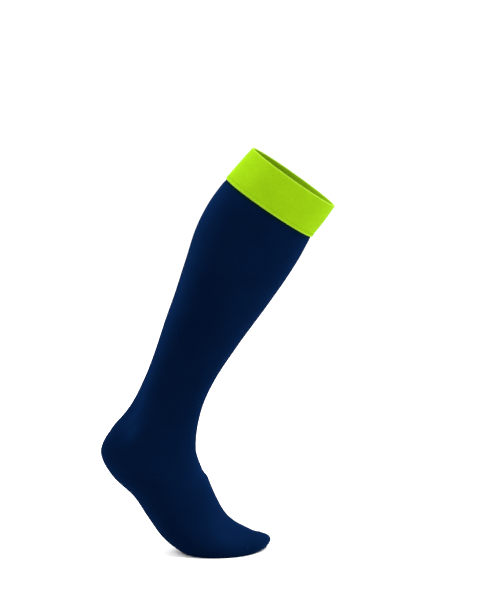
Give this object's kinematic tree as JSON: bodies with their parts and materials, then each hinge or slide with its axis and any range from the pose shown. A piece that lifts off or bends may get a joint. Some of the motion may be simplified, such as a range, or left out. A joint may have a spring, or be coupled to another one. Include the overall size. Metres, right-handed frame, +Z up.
{
  "type": "compression stocking",
  "caption": "Knee-high compression stocking in its worn, raised-heel pose: hollow knitted leg, heel, foot and closed toe, with a doubled elastic band round the open top.",
  "frame": {"origin": "centre of the top band, on the leg's middle line, where the calf holds the stocking up", "axes": "+Z up, +X towards the toes, +Y towards the big toe's side"},
  "size_m": [0.2699, 0.1084, 0.4699],
  "materials": {
    "lime_band_knit": "matt elastic knit",
    "navy_knit": "fine matt elastic knit"
  },
  "bodies": {
    "root": {"top_band": "lime_band_knit", "calf": "navy_knit", "shin": "navy_knit", "ankle": "navy_knit", "heel": "navy_knit", "arch": "navy_knit", "forefoot": "navy_knit", "toe": "navy_knit"}
  },
  "joints": []
}
